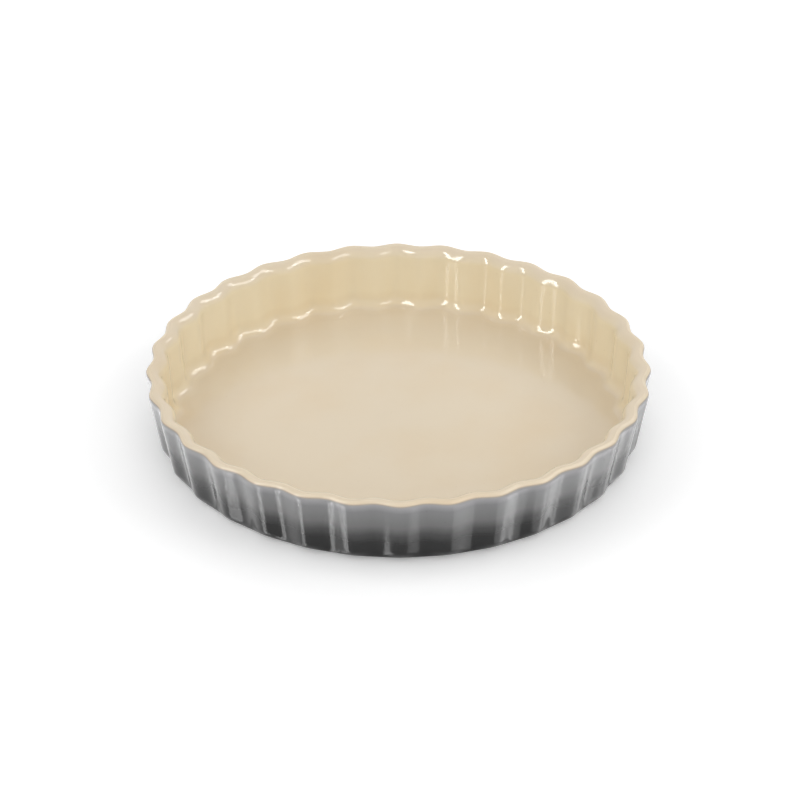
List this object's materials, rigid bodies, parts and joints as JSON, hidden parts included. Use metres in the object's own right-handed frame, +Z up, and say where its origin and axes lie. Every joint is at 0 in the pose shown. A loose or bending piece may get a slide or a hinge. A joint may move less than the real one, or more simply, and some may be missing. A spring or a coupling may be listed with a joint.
{
  "type": "fluted quiche dish",
  "caption": "Round stoneware baking dish with a flat floor and low fluted wall, pale glazed inside and dark glazed outside, standing on a bare foot ring.",
  "frame": {"origin": "on the table under the middle of the dish, level with the foot ring's lower face", "axes": "+Z up along the dish's axis, +X through the tip of one flute, +Y through another a quarter turn on"},
  "size_m": [0.285, 0.285, 0.0426],
  "materials": {
    "bare_stoneware": "bare fired clay, fine and matt",
    "cream_glaze": "gloss",
    "charcoal_glaze": "gloss, shading from light grey at the lip to near black at the foot",
    "underside_glaze": "gloss"
  },
  "bodies": {
    "root": {"stoneware_body": "bare_stoneware", "interior_glaze": "cream_glaze", "exterior_glaze": "charcoal_glaze", "underside_glaze": "underside_glaze"}
  },
  "joints": []
}
